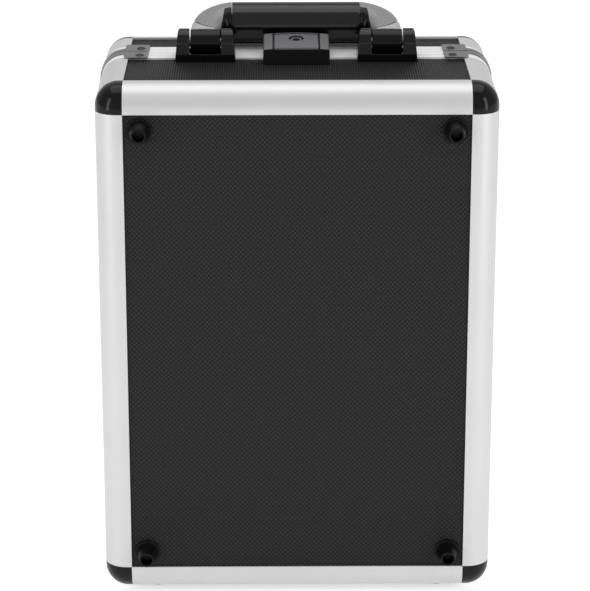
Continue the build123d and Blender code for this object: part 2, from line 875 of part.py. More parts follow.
def gusset_region(sx, play):
    """The prism of the black inner corner between the arm and the grip."""
    return arm_region(
        sx,
        (
            (grip_half_length - 4, gusset_top - play),
            (gusset_top_x - play, gusset_top - play),
            (bracket_x - knuckle_width / 2 + gusset_wall - play, gusset_bottom),
            (grip_half_length - 4, gusset_bottom),
        ),
    )


def gusset_block(sx):
    """The black inner corner itself, clear of the grey shell all round."""
    with BuildPart() as gusset:
        add(arm_solid(sx, 0).part)
        add(gusset_region(sx, gusset_play), mode=Mode.INTERSECT)
    return gusset.part


for side, sx in (("left", -1), ("right", 1)):
    with BuildPart() as shell:
        add(arm_solid(sx, 0).part)
        add(arm_solid(sx, cap_wall).part, mode=Mode.SUBTRACT)
        add(gusset_region(sx, 0), mode=Mode.SUBTRACT)
    with BuildPart() as elbow:
        add(shell.part)
        add(elbow_region(sx, 0), mode=Mode.INTERSECT)
    save(elbow, f"handle_elbow_{side}")
    with BuildPart() as arm_cover:
        add(shell.part)
        add(elbow_region(sx, cap_slit), mode=Mode.SUBTRACT)
    save(arm_cover, f"handle_arm_cover_{side}")

with BuildPart() as handle_core:
    for sx in side_signs:
        with Locations((sx * bracket_x, pivot_y, pivot_z)):
            Cylinder(knuckle_radius, knuckle_width, rotation=(0, 90, 0))
    with BuildSketch(handle_plane):
        with Locations((0, arm_start + knuckle_radius)):
            Rectangle(case_width, 2 * knuckle_radius)
    extrude(amount=2 * knuckle_radius, both=True, mode=Mode.SUBTRACT)
    for sx in side_signs:
        add(arm_solid(sx, cap_wall + core_play).part)
        with BuildSketch(Plane(origin=arm_path(sx) @ 0, x_dir=(1, 0, 0), z_dir=-reach_dir)):
            inner = 2 * (cap_wall + core_play)
            RectangleRounded(knuckle_width - inner, arm_thickness - inner, cap_corner - inner / 2)
        extrude(amount=arm_straight)
        add(gusset_block(sx))
        with Locations((sx * bracket_x, pivot_y, pivot_z)):
            Cylinder(
                handle_pin_radius + running_play, 2 * knuckle_width, rotation=(0, 90, 0), mode=Mode.SUBTRACT
            )
    grip_centre = handle_plane.origin + reach_dir * handle_reach
    with Locations(grip_centre):
        Cylinder(core_bar_radius, 2 * grip_half_length, rotation=(0, 90, 0))
save(handle_core, "handle_core")

with BuildPart() as handle_grip:
    grip_plane = Plane(origin=grip_centre, x_dir=(0, 1, 0), z_dir=(1, 0, 0))
    with BuildSketch(grip_plane):
        Circle(grip_radius)
        Circle(core_bar_radius + seat_play, mode=Mode.SUBTRACT)
    extrude(amount=grip_half_length - grip_end_gap, both=True)
save(handle_grip, "handle_grip")

# Lock on the base: housing, flap on its pin, hook, key cylinder with its cam
slope = math.radians(lock_slope)
lock_low = top_z - face_out
lock_front_y = front_y + lock_front
lock_edge_y = lock_front_y + lock_front_slope
lock_back_y = front_y + lock_back
lock_edge_z = top_z + lock_front_height


def lock_top(y, under=0):
    """Height of the lock's sloping top along its middle, or of a plane under it."""
    return lock_edge_z + (y - lock_edge_y) * math.tan(slope) - under / math.cos(slope)


flap_pin_y = front_y + flap_pin_from_front
flap_pin_z = lock_top(flap_pin_y, flap_nose_radius)
key_y = front_y + key_from_front
lock_normal = (0, -math.sin(slope), math.cos(slope))
key_plane = Plane(origin=(0, key_y, lock_top(key_y)), x_dir=(1, 0, 0), z_dir=lock_normal)
side_view = Plane(origin=(0, 0, 0), x_dir=(0, 1, 0), z_dir=(1, 0, 0))


def lock_crown_block():
    """Everything under the lock's gently crowned top."""
    section = Plane(
        origin=(0, lock_edge_y, lock_edge_z),
        x_dir=(1, 0, 0),
        z_dir=(0, -math.cos(slope), -math.sin(slope)),
    )
    drop = lock_crown - math.sqrt(lock_crown**2 - lock_half_width**2)
    with BuildPart() as crown:
        with BuildSketch(section) as outline:
            with BuildLine():
                top = ThreePointArc((-lock_half_width, -drop), (0, 0), (lock_half_width, -drop))
                low = -2 * lock_front_height
                Polyline(top @ 1, (lock_half_width, low), (-lock_half_width, low), top @ 0)
            make_face()
            fillet(outline.vertices().group_by(Axis.Y)[-1], lock_corner)
        extrude(amount=2 * (lock_back - lock_front), both=True)
    return crown.part


with BuildPart() as lock_housing:
    with BuildSketch(side_view):
        with BuildLine():
            Polyline(
                (lock_front_y, lock_low),
                (lock_back_y, lock_low),
                (lock_back_y, lock_top(lock_back_y)),
                (lock_edge_y, lock_edge_z),
                close=True,
            )
        make_face()
    extrude(amount=lock_half_width, both=True)
    add(lock_crown_block(), mode=Mode.INTERSECT)
    add(
        block((-half_width, base_rim, lock_low - 1), (half_width, lock_back_y + 1, top_z)).part,
        mode=Mode.SUBTRACT,
    )
    well = flap_half_width + flap_play
    well_front = flap_pin_y - flap_nose_radius - flap_play
    well_back = front_y + flap_back + flap_play
    add(
        block((-well, well_front, top_z + lock_floor), (well, well_back, pivot_z + 50)).part,
        mode=Mode.SUBTRACT,
    )
    hook_under = flap_thickness + hook_thickness
    rear_wall_top = lock_top(lock_back_y - lock_rear_wall, hook_under) - flap_play
    add(
        block(
            (-well, lock_back_y - lock_rear_wall, top_z),
            (well, lock_back_y, rear_wall_top),
        ).part
    )
    front_top = lock_edge_z - flap_front_step
    add(
        block((-well, lock_front_y - 1, front_top), (well, well_front + 1, lock_edge_z + 5)).part,
        mode=Mode.SUBTRACT,
    )
    with BuildSketch(key_plane.offset(-hook_under - ledge_play)):
        with Locations(((cam_ledge_x + well) / 2, 0)):
            Rectangle(well - cam_ledge_x, 2 * cam_width)
    extrude(amount=-ledge_thickness)
    with Locations((0, flap_pin_y, flap_pin_z)):
        Cylinder(flap_pin_radius + seat_play, 4 * lock_half_width, rotation=(0, 90, 0), mode=Mode.SUBTRACT)
    for place, turn in lock_rear_rivets + lock_front_rivets:
        add(rivet_hole(place, turn, 2 * lock_floor), mode=Mode.SUBTRACT)
save(lock_housing, "lock_housing")

with BuildPart() as lock_flap_pin:
    with Locations((0, flap_pin_y, flap_pin_z)):
        Cylinder(flap_pin_radius, 2 * lock_half_width - 2, rotation=(0, 90, 0))
save(lock_flap_pin, "lock_flap_pin")

with BuildPart() as lock_flap:
    flap_back_y = front_y + flap_back
    with BuildSketch(side_view):
        with BuildLine():
            Polyline(
                (flap_pin_y, lock_top(flap_pin_y)),
                (flap_back_y, lock_top(flap_back_y)),
                (flap_back_y, lock_top(flap_back_y, flap_thickness)),
                (flap_pin_y, lock_top(flap_pin_y, flap_thickness)),
                close=True,
            )
        make_face()
        with Locations((flap_pin_y, flap_pin_z)):
            Circle(flap_nose_radius)
    extrude(amount=flap_half_width, both=True)
    add(lock_crown_block(), mode=Mode.INTERSECT)
    groove_y = flap_back_y - flap_groove_from_back
    with Locations((0, groove_y, lock_top(groove_y))):
        Box(2 * flap_half_width, flap_groove_width, 2 * flap_groove_depth, mode=Mode.SUBTRACT)
    with Locations((0, flap_pin_y, flap_pin_z)):
        Cylinder(flap_pin_radius + running_play, 4 * lock_half_width, rotation=(0, 90, 0), mode=Mode.SUBTRACT)
    with BuildSketch(key_plane.offset(-key_head_height)):
        Circle(key_head_radius + running_play)
    extrude(amount=2 * key_head_height, mode=Mode.SUBTRACT)
    with BuildSketch(key_plane):
        Circle(key_shank_radius + running_play)
    extrude(amount=-2 * flap_thickness, mode=Mode.SUBTRACT)
    with BuildSketch(key_plane):
        Circle(key_dish_radius)
    with BuildSketch(key_plane.offset(-key_dish_depth)):
        Circle(key_head_radius + running_play)
    loft(mode=Mode.SUBTRACT)
save(lock_flap, "lock_flap")

with BuildPart() as lock_hook:
    hook_start_y = front_y + hook_front
    nose_back_y = nose_front_y + hook_thickness
    with BuildSketch(side_view):
        with BuildLine():
            Polyline(
                (hook_start_y, lock_top(hook_start_y, flap_thickness)),
                (nose_back_y, lock_top(nose_back_y, flap_thickness)),
                (nose_back_y, top_z - hook_nose_depth),
                (nose_front_y, top_z - hook_nose_depth),
                (nose_front_y, lock_top(nose_front_y, hook_under)),
                (hook_start_y, lock_top(hook_start_y, hook_under)),
                close=True,
            )
        make_face()
    extrude(amount=hook_half_width, both=True)
    with BuildSketch(key_plane):
        Circle(key_shank_radius + flap_play)
    extrude(amount=-4 * flap_thickness, mode=Mode.SUBTRACT)
save(lock_hook, "lock_hook")

with BuildPart() as key_cylinder:
    with BuildSketch(key_plane.offset(-key_dish_depth)):
        Circle(key_head_radius)
    extrude(amount=key_dish_depth - key_head_height)
    with BuildSketch(key_plane.offset(-key_dish_depth)):
        Circle(key_shank_radius)
    extrude(amount=key_dish_depth - key_length)
    with BuildSketch(key_plane):
        SlotOverall(key_slot_length, key_slot_width)
    extrude(amount=-key_length / 2, mode=Mode.SUBTRACT)
save(key_cylinder, "key_cylinder")

with BuildPart() as key_cam:
    with BuildSketch(key_plane.offset(-key_length)):
        with Locations((0, (cam_reach - cam_width / 2) / 2)):
            Rectangle(cam_width, cam_reach + cam_width / 2)
    extrude(amount=-cam_thickness)
save(key_cam, "key_cam")

with BuildPart() as lock_rivets:
    for place, turn in lock_front_rivets:
        add(blind_rivet(place, turn, lock_floor + lining_inset))
    for place, turn in lock_rear_rivets:
        add(blind_rivet(place, turn, lock_floor + rivet_length))
save(lock_rivets, "lock_rivets")

with BuildPart() as strike_plate:
    strike_front_y = seam_y + strike_setback
    with Locations((0, strike_front_y + strike_depth / 2, top_z + strike_thickness / 2)):
        Box(2 * strike_half_width, strike_depth, strike_thickness)
    with Locations((0, (slot_front_y + slot_back_y) / 2, top_z)):
        Box(2 * strike_slot_half_width, slot_back_y - slot_front_y, 4 * strike_thickness, mode=Mode.SUBTRACT)
    for place, turn in strike_rivets:
        add(rivet_hole(place, turn, 2 * strike_thickness), mode=Mode.SUBTRACT)
save(strike_plate, "strike_plate")

# The handle-side panel of the base, with the holes under the lock and the brackets
with BuildPart() as base_handle_side_panel:
    add(base_panels["handle_side"].part)
    for place, turn in lock_front_rivets:
        add(rivet_hole(place, turn, 2 * lining_inset), mode=Mode.SUBTRACT)
    for x in bracket_screw_places:
        with Locations((x, bracket_screw_y, top_z)):
            Cylinder(bracket_screw_radius + seat_play, 4 * panel_thickness, mode=Mode.SUBTRACT)
save(base_handle_side_panel, "base_handle_side_panel")

# Foam lining of both halves
foam_inset = lining_inset + foam_play
with BuildPart() as base_foam:
    add(rim_ring(foam_inset, foam_inset + foam_wall, front_y + foam_inset, seam_y - foam_rim_setback))
    floor_plane = Plane(origin=(0, front_y + foam_inset, mid_z), x_dir=(1, 0, 0), z_dir=(0, 1, 0))
    with BuildSketch(floor_plane):
        RectangleRounded(case_width - 2 * foam_inset, case_height - 2 * foam_inset, edge_radius - foam_inset)
    extrude(amount=foam_floor)
save(base_foam, "base_foam")
with BuildPart() as lid_foam:
    add(rim_ring(foam_inset, foam_inset + foam_wall, seam_y + foam_rim_setback, back_y - foam_inset))
    lid_foam_plane = Plane(origin=(0, back_y - foam_inset, mid_z), x_dir=(1, 0, 0), z_dir=(0, -1, 0))
    with BuildSketch(lid_foam_plane):
        RectangleRounded(case_width - 2 * foam_inset, case_height - 2 * foam_inset, edge_radius - foam_inset)
    extrude(amount=lid_foam_floor)
save(lid_foam, "lid_foam")
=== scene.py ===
# %% [markdown]
# # A sampler case, dressed for its portrait
#
# The case is an aluminium frame with black panels, standing on its hinge side.
# Its rigid pieces come from the CAD model, in metres, and stay where they are.
# This lesson adds the camera, the light, the finishes and the foam lining.

import math

import bmesh
import bpy
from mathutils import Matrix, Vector


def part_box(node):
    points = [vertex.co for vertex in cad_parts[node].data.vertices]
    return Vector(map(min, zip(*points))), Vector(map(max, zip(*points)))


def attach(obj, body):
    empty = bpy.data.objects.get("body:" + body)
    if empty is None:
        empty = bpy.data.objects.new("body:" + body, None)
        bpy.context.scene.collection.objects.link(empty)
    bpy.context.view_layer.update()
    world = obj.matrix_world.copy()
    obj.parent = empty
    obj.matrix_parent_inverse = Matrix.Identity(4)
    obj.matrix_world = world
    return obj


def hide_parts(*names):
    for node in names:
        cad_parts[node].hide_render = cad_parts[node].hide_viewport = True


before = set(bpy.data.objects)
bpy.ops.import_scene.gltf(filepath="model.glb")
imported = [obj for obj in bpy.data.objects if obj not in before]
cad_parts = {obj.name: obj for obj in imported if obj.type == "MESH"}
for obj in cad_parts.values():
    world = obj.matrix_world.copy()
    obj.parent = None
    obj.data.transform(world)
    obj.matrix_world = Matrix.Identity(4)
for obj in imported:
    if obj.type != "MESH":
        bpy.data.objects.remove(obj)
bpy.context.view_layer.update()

# %% [markdown]
# ## Camera
#
# The photograph was taken from about two metres in front and a little above, with a long lens,
# so the sides converge only slightly. Place, tilt and lens were found by fitting the straight
# edges of the case, which is steadier than judging them by eye.

# %% Camera
lens_mm = 155.5
sensor_mm = 36.0
sight_end = 20.0
camera_place = (-0.0192, -2.0697, 0.9341)
tilt_down = 18.48
turn_right = 0.5

camera_data = bpy.data.cameras.new("portrait_lens")
camera_data.lens = lens_mm
camera_data.sensor_width = sensor_mm
camera_data.clip_end = sight_end
camera = bpy.data.objects.new("portrait_camera", camera_data)
bpy.context.scene.collection.objects.link(camera)
camera.location = camera_place
camera.rotation_euler = (math.radians(90 - tilt_down), 0, math.radians(-turn_right))
bpy.context.scene.camera = camera
bpy.context.scene.view_settings.view_transform = "Standard"
print("camera at", camera_place, "with a lens of", lens_mm, "mm")

# %% [markdown]
# ## Shader arithmetic
#
# A finish is easier to read as a sum than as a chain of boxes. The class below wraps a socket,
# so that `1 - worn` or `streak * 0.2` adds the Math node by itself. Every other node comes from
# one method, `make`, which sets the node up and then fills its sockets with values or links.


# %% A wire between nodes
class Wire:
    """A number or a colour on its way through a material."""

    def __init__(self, tree, socket):
        self.tree = tree
        self.socket = socket

    def make(self, kind, output=0, settings=None, **inputs):
        """Adds a node, sets it up and fills its sockets, and gives the wire that leaves it."""
        node = self.tree.nodes.new(kind)
        for name, value in (settings or {}).items():
            if name == "stops":
                ramp = node.color_ramp.elements
                while len(ramp) < len(value):
                    ramp.new(0.5)
                for stop, (place, shade) in zip(ramp, value):
                    stop.position = place
                    stop.color = (shade, shade, shade, 1)
            else:
                setattr(node, name, value)
        for name, value in inputs.items():
            key = int(name[1:]) if name[0] == "_" else name.replace("_", " ")
            plug(self.tree, node.inputs[key], value)
        return Wire(self.tree, node.outputs[output])

    def maths(self, operation, other, turned=False):
        """Adds the Math node of an operator; turned puts this wire second."""
        first, second = (other, self) if turned else (self, other)
        return self.make("ShaderNodeMath", settings={"operation": operation}, _0=first, _1=second)

    def __add__(self, other):
        return self.maths("ADD", other)

    __radd__ = __add__

    def __mul__(self, other):
        return self.maths("MULTIPLY", other)

    __rmul__ = __mul__

    def __sub__(self, other):
        return self.maths("SUBTRACT", other)

    def __rsub__(self, other):
        return self.maths("SUBTRACT", other, turned=True)

    def ramp(self, *stops):
        """Passes the number through a ramp of greys: each stop is a place and a shade."""
        return self.make("ShaderNodeValToRGB", settings={"stops": stops}, Fac=self)

    def cosine(self):
        return self.make("ShaderNodeMath", settings={"operation": "COSINE"}, _0=self)

    def size(self):
        """The number without its sign."""
        return self.make("ShaderNodeMath", settings={"operation": "ABSOLUTE"}, _0=self)

    def shade(self, dark, light):
        """A colour between two, by this number."""
        return self.make(
            "ShaderNodeMix",
            output=2,
            settings={"data_type": "RGBA"},
            _0=self,
            _6=(*dark, 1),
            _7=(*light, 1),
        )


def plug(tree, socket, value):
    """Links a wire to a socket, or writes a plain value into it."""
    if isinstance(value, Wire):
        tree.links.new(value.socket, socket)
    else:
        socket.default_value = value


print("a wire understands + - *, ramp, cosine, size and shade")

# %% [markdown]
# ## Starting a finish
#
# Each finish begins with the same three things: a named material, its Principled shader with
# the numbers that stay the same all over, and the place on the object as a wire. The CAD pieces
# are modelled in place, so object coordinates are real metres and patterns come out to scale.


# %% Starting a finish
def new_finish(name, **constants):
    """A material with its shader set up, and a wire that carries the place on the object."""
    finish = bpy.data.materials.new(name)
    finish.use_nodes = True
    tree = finish.node_tree
    shader = tree.nodes["Principled BSDF"]
    for socket, value in constants.items():
        shader.inputs[socket.replace("_", " ")].default_value = value
    start = Wire(tree, None)
    print("finish:", name)
    return finish, shader, start.make("ShaderNodeTexCoord", output="Object")


def noise(place, scale, stretch=(1, 1, 1), detail=3.0):
    """Cloudy noise over the place; stretch gives its fineness along X, Y and Z."""
    laid = place.make("ShaderNodeMapping", Vector=place, Scale=stretch)
    return place.make("ShaderNodeTexNoise", Vector=laid, Scale=scale, Detail=detail)


def emboss(shader, height, depth, strength=1.0):
    """Lets a height pattern tilt the surface."""
    bump = height.make("ShaderNodeBump", Height=height, Distance=depth, Strength=strength)
    plug(height.tree, shader.inputs["Normal"], bump)


def grey(level):
    return (level, level, level)


print("helpers for a finish: new_finish, noise, emboss and grey")

# %% [markdown]
# ## Satin aluminium
#
# The edges and rim profiles are anodised extrusions. The die leaves faint lines along the bar,
# and the anodised skin scatters so much light that the bar looks half like white paint. A metal
# that is not fully metallic gives that, where a pure mirror metal would go black beside a black
# handle. Noise that is fine across the bar and slow along it gives the die lines, so each
# direction of bar gets its own stretch. The rim is seen at a low angle, in the shade under the
# handle, where the same metal came out too dark beside the photograph, so its skin is painted
# paler and less metallic: painted light on the same aluminium against that shade.

# %% Satin aluminium
die_line_depth = 0.00002


def satin_aluminium(name, stretch, dark=0.62, light=0.71, metal=0.5):
    finish, shader, place = new_finish(name, Metallic=metal)
    drawn = noise(place, 1.0, stretch, detail=4.0)
    cloud = noise(place, 14.0)
    tone = drawn * 0.5 + cloud * 0.5
    plug(place.tree, shader.inputs["Base Color"], tone.shade(grey(dark), grey(light)))
    plug(place.tree, shader.inputs["Roughness"], drawn * 0.10 + 0.40)
    emboss(shader, drawn, die_line_depth, strength=0.25)
    return finish


fine, slow = 1500, 4
aluminium_across = satin_aluminium("aluminium_across", (slow, fine, fine))
aluminium_upright = satin_aluminium("aluminium_upright", (fine, fine, slow))
aluminium_deep = satin_aluminium("aluminium_deep", (fine, slow, fine))
# The rim is the same aluminium, painted paler as painted light against the shade under the handle.
aluminium_rim_painted_lighter = satin_aluminium("aluminium_rim_painted_lighter", (slow, fine, slow), dark=0.87, light=0.94, metal=0.15)

# %% [markdown]
# ## Embossed laminate
#
# The panels are covered in black laminate with a fine field of raised dots, set in a staggered
# grid. The dots could be real bumps in the mesh, but there are thousands of them, each a
# fraction of a millimetre high. Two cosines multiplied give the same field in the finish: a hill
# wherever both are high or both are low. A panel in each of the three directions needs its own
# pair of axes. Seen along its surface the same field closes up into fine ribs, so the lying
# panels get a share of ribs from front to back.

# %% Embossed laminate
dot_pitch = 0.0040
dot_height = 0.0005
# The black of the laminate, and the lighter colour of its dot tops as painted highlight.
laminate_dark, laminate_dot_highlight = grey(0.003), grey(0.030)


def along(place, axis):
    """How far the place lies along one axis, in metres."""
    return place.make("ShaderNodeSeparateXYZ", output=axis, Vector=place)


def embossed_laminate(name, first, second, specular=0.22, ribs=0.0):
    """Dots in the plane of two axes; ribs is the share that runs as lines across the first."""
    finish, shader, place = new_finish(name, Specular_IOR_Level=specular)
    turn = 2 * math.pi / dot_pitch
    u = (along(place, first) * turn).cosine()
    v = (along(place, second) * turn).cosine()
    dots = (u * v * 0.5 + 0.5).ramp((0.4, 0.0), (0.6, 0.35), (0.9, 1.0))
    if ribs:
        rib = (along(place, first) * (2 * turn)).cosine() * 0.5 + 0.5
        dots = dots * (1 - ribs) + rib * ribs
    grain = noise(place, 900.0, detail=2.0)
    # Painted highlight: the colour is lighter on the dots' tops and ribs; the grain is the laminate's own
    # tone.
    tone = dots * 0.8 + grain * 0.2
    plug(place.tree, shader.inputs["Base Color"], tone.shade(laminate_dark, laminate_dot_highlight))
    plug(place.tree, shader.inputs["Roughness"], 0.52 - dots * 0.12)
    emboss(shader, dots + grain * 0.15, dot_height)
    return finish


laminate_facing = embossed_laminate("laminate_facing", "X", "Z")
laminate_lying = embossed_laminate("laminate_lying", "X", "Y", specular=0.12, ribs=0.8)
laminate_side = embossed_laminate("laminate_side", "Y", "Z")

# %% [markdown]
# ## Moulded plastics and rubber
#
# The corners, brackets, handle and feet are mouldings: nearly black or grey, with a soft gloss
# and a grain too fine to see except where it breaks up a highlight. One recipe with different
# colours, gloss and grain serves them all. Sharp edges catch light on real mouldings because
# they are slightly round, and a Bevel node gives that without touching the mesh.


# %% Moulded plastics and rubber
def moulding(name, dark, light, rough, grain_scale, grain_depth, edge=0.0004, specular=0.5):
    """Plastic or rubber; edge is the radius that its sharp edges seem to have."""
    finish, shader, place = new_finish(name, Specular_IOR_Level=specular)
    grain = noise(place, grain_scale, detail=4.0)
    cloud = noise(place, 25.0)
    plug(place.tree, shader.inputs["Base Color"], cloud.shade(dark, light))
    plug(place.tree, shader.inputs["Roughness"], grain * 0.12 + (rough - 0.06))
    rounded = place.make("ShaderNodeBevel", Radius=edge)
    bump = place.make("ShaderNodeBump", Height=grain, Distance=grain_depth, Strength=0.6, Normal=rounded)
    plug(place.tree, shader.inputs["Normal"], bump)
    return finish


smooth_skin, hard_skin, rubber_skin = 0.00001, 0.000006, 0.00006
corner_plastic = moulding(
    "corner_plastic", grey(0.002), grey(0.004), 0.15, 1400.0, smooth_skin, specular=0.20
)
bracket_plastic = moulding(
    "bracket_plastic", grey(0.001), grey(0.003), 0.15, 1400.0, hard_skin, edge=0.0010, specular=0.34
)
handle_black = moulding(
    "handle_black", grey(0.001), grey(0.003), 0.22, 1400.0, smooth_skin, edge=0.0008, specular=0.22
)
grip_cover = moulding("grip_cover", grey(0.002), grey(0.004), 0.16, 1800.0, smooth_skin, specular=0.42)
arm_grey = moulding("arm_grey", (0.40, 0.40, 0.41), (0.46, 0.46, 0.47), 0.36, 900.0, smooth_skin)
# The elbow is the same silver-grey plastic as the arm cover, coloured darker as painted shade.
elbow_grey_painted_shade = moulding("elbow_grey_painted_shade", (0.20, 0.20, 0.205), (0.25, 0.25, 0.255), 0.26, 900.0, smooth_skin)
rubber = moulding("rubber", grey(0.002), grey(0.005), 0.42, 500.0, rubber_skin, specular=0.14)

# %% [markdown]
# ## The lock
#
# The lock is dull grey on top and black in front. The grey is a painted sheen: the colour is
# lighter where a face looks up to the lamp overhead. What makes it read as three pieces is the
# shadow in the gap round the flap, and the ringed keyhole. The gap is under half a millimetre,
# so painted shadow along the flap's edges, in its groove and in the dish round the key, and
# painted shade in the keyhole, help it to show at arm's length. Masks on the place along X,
# along Y and away from the key's middle draw these lines.


# %% Masks on the place
def looking_up(place):
    """1 where the surface faces up, 0 where it faces sideways or down."""
    facing = Wire(place.tree, place.socket.node.outputs["Normal"])
    return along(facing, "Z").ramp((0.35, 0.0), (0.85, 1.0))


def near(distance, reach, fade):
    """1 within a reach, falling to 0 over a soft margin; all in metres."""
    return (distance * (1 / fade) - (reach / fade)).ramp((0.0, 1.0), (1.0, 0.0))


def away(place, point):
    """The distance from a point, in metres."""
    distance = {"operation": "DISTANCE"}
    return place.make("ShaderNodeVectorMath", output=1, settings=distance, _0=place, _1=point)


print("masks: looking_up, near and away")

# %% Lines of painted shadow on the lock
key_middle = (0.0, 0.016, 0.4631)
dish_reach = 0.0062
keyhole_reach = 0.0030
groove_half = 0.0008
line_fade, ring_fade = 0.0003, 0.0004
flap_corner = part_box("lock_flap")[1]
side_line = flap_corner[0] - 0.0014
groove_y = flap_corner[1] - 0.0024


def flap_painted_shadow(place):
    """Painted shadow along the sides of the flap, in its groove near the back, and in the dish round the
    key.
    """
    edges = 1 - near(along(place, "X").size(), side_line, line_fade)
    groove = near((along(place, "Y") - groove_y).size(), groove_half, line_fade)
    dish = near(away(place, key_middle), dish_reach, ring_fade)
    lines = edges + groove + dish
    return lines.make("ShaderNodeClamp", Value=lines)


def keyhole_painted_shade(place):
    """Painted shade in the keyway: the dark middle of the key cylinder, inside its paler ring."""
    return near(away(place, key_middle), keyhole_reach, ring_fade)


# Where the painted shadow lies on the flap.
print("grime on the flap beyond x", round(side_line, 4), "and along y", round(groove_y, 4))

# %% The lock
lock_edge = 0.0009
# The share of the colour that the painted shadow takes away.
painted_shadow_share = 0.93
# The lock's black in front, darkened a little as painted shade, and the grey of its painted sheen on top.
lock_front_black_and_shade, lock_top_painted_sheen = grey(0.0015), (0.140, 0.138, 0.145)


def lock_paint(name, painted_shadow=None):
    """Black in front, grey as painted sheen where it looks up, painted shadow where the mask is 1."""
    finish, shader, place = new_finish(name, Specular_IOR_Level=0.12)
    grain = noise(place, 1600.0, detail=3.0)
    cloud = noise(place, 40.0)
    # Painted sheen: the colour turns grey where the face looks up to the lamp overhead.
    tone = looking_up(place) * (cloud * 0.3 + 0.85)
    if painted_shadow:
        # Painted shadow: the colour darkens where the mask marks a gap or a hollow.
        tone = tone * (1 - painted_shadow(place) * painted_shadow_share)
    plug(place.tree, shader.inputs["Base Color"], tone.shade(lock_front_black_and_shade, lock_top_painted_sheen))
    plug(place.tree, shader.inputs["Roughness"], grain * 0.08 + 0.24)
    plug(place.tree, shader.inputs["Normal"], place.make("ShaderNodeBevel", Radius=lock_edge))
    return finish


lock_body_paint = lock_paint("lock_body_paint")
lock_flap_paint = lock_paint("lock_flap_paint", flap_painted_shadow)
# The key's face, with painted shade in its keyhole.
key_face = lock_paint("key_face", keyhole_painted_shade)

# %% [markdown]
# ## Plated steel
#
# Braces, rivets, hinges, hook and strike plate are plated steel that has been rolled, stamped
# and handled: fine lines, a cloudy sheen and slightly darker patches. The same recipe with darker
# colours serves the rivets, and with the darkest ones the screws.

# %% Plated steel
plate_edge = 0.0003
rolling_depth = 0.00001


def plated_steel(name, dark, light, rough):
    finish, shader, place = new_finish(name, Metallic=1.0)
    rolled = noise(place, 1.0, (60, 1800, 1800), detail=3.0)
    patches = noise(place, 120.0)
    plug(place.tree, shader.inputs["Base Color"], patches.shade(dark, light))
    plug(place.tree, shader.inputs["Roughness"], rolled * 0.14 + patches * 0.1 + rough)
    rounded = place.make("ShaderNodeBevel", Radius=plate_edge)
    bump = place.make("ShaderNodeBump", Height=rolled, Distance=rolling_depth, Strength=0.3, Normal=rounded)
    plug(place.tree, shader.inputs["Normal"], bump)
    return finish


brace_steel = plated_steel("brace_steel", (0.22, 0.205, 0.21), (0.31, 0.29, 0.295), 0.22)
rivet_steel = plated_steel("rivet_steel", grey(0.03), (0.06, 0.058, 0.058), 0.22)
screw_black = plated_steel("screw_black", grey(0.015), grey(0.03), 0.42)

# %% [markdown]
# ## Open-cell foam
#
# Polyurethane foam is charcoal grey and swallows light: it is all tiny torn bubbles. Voronoi
# cells about two millimetres wide make the bubbles, and finer noise tears their walls.

# %% Open-cell foam
bubble_scale = 520.0
pit_depth = 0.0006


def open_cell_foam(name):
    finish, shader, place = new_finish(name, Specular_IOR_Level=0.1, Roughness=0.95)
    bubbles = place.make("ShaderNodeTexVoronoi", Vector=place, Scale=bubble_scale)
    torn = noise(place, 1900.0, detail=3.0)
    pits = bubbles * 0.7 + torn * 0.3
    # Painted shade: the colour is darker down in the pits of the bubbles.
    plug(place.tree, shader.inputs["Base Color"], pits.shade(grey(0.012), grey(0.045)))
    emboss(shader, pits, pit_depth, strength=0.7)
    return finish


foam_cells = open_cell_foam("foam_cells")

# %% [markdown]
# ## Handing out the finishes
#
# Every node of the CAD model gets its finish by the kind of thing it is. Curved faces are
# smoothed and real corners kept sharp, which changes only how they are lit.

# %% Frame and panels
finish_by_node = {}
for half in ("base", "lid"):
    for side in ("top", "bottom"):
        finish_by_node[f"{half}_edge_{side}"] = aluminium_across
    for side in ("left", "right"):
        finish_by_node[f"{half}_edge_{side}"] = aluminium_upright
        finish_by_node[f"{half}_{side}_panel"] = laminate_side
    for side in ("handle_side", "hinge_side"):
        finish_by_node[f"{half}_{side}_panel"] = laminate_lying
    finish_by_node[f"{half}_side_edges"] = aluminium_deep
    finish_by_node[f"{half}_closing_profile"] = aluminium_rim_painted_lighter
    finish_by_node[f"{half}_corners"] = corner_plastic
    finish_by_node[f"{half}_corner_braces"] = brace_steel
    finish_by_node[f"{half}_rivets"] = rivet_steel
    finish_by_node[f"{half}_hinge_leaves"] = brace_steel
    finish_by_node[f"{half}_low_feet"] = rubber
    finish_by_node[f"{half}_foam"] = foam_cells
finish_by_node["base_bottom_panel"] = laminate_facing
finish_by_node["lid_top_panel"] = laminate_facing
print("nodes of the frame and panels:", len(finish_by_node))

# %% Feet, handle and lock
for side in ("left", "right"):
    finish_by_node[f"foot_upper_{side}"] = rubber
    finish_by_node[f"foot_lower_{side}"] = rubber
    finish_by_node[f"handle_bracket_{side}"] = bracket_plastic
    finish_by_node[f"handle_elbow_{side}"] = elbow_grey_painted_shade
    finish_by_node[f"handle_arm_cover_{side}"] = arm_grey
    finish_by_node[f"handle_pin_{side}"] = brace_steel
finish_by_node["handle_core"] = handle_black
finish_by_node["handle_grip"] = grip_cover
finish_by_node["lock_housing"] = lock_body_paint
finish_by_node["lock_flap"] = lock_flap_paint
finish_by_node["key_cylinder"] = key_face
for name in ("foot_screws", "bracket_screws"):
    finish_by_node[name] = screw_black
for name in ("hinge_pins", "lock_rivets", "lock_flap_pin"):
    finish_by_node[name] = rivet_steel
for name in ("key_cam", "lock_hook", "strike_plate"):
    finish_by_node[name] = brace_steel
print("with feet, handle and lock:", len(finish_by_node))


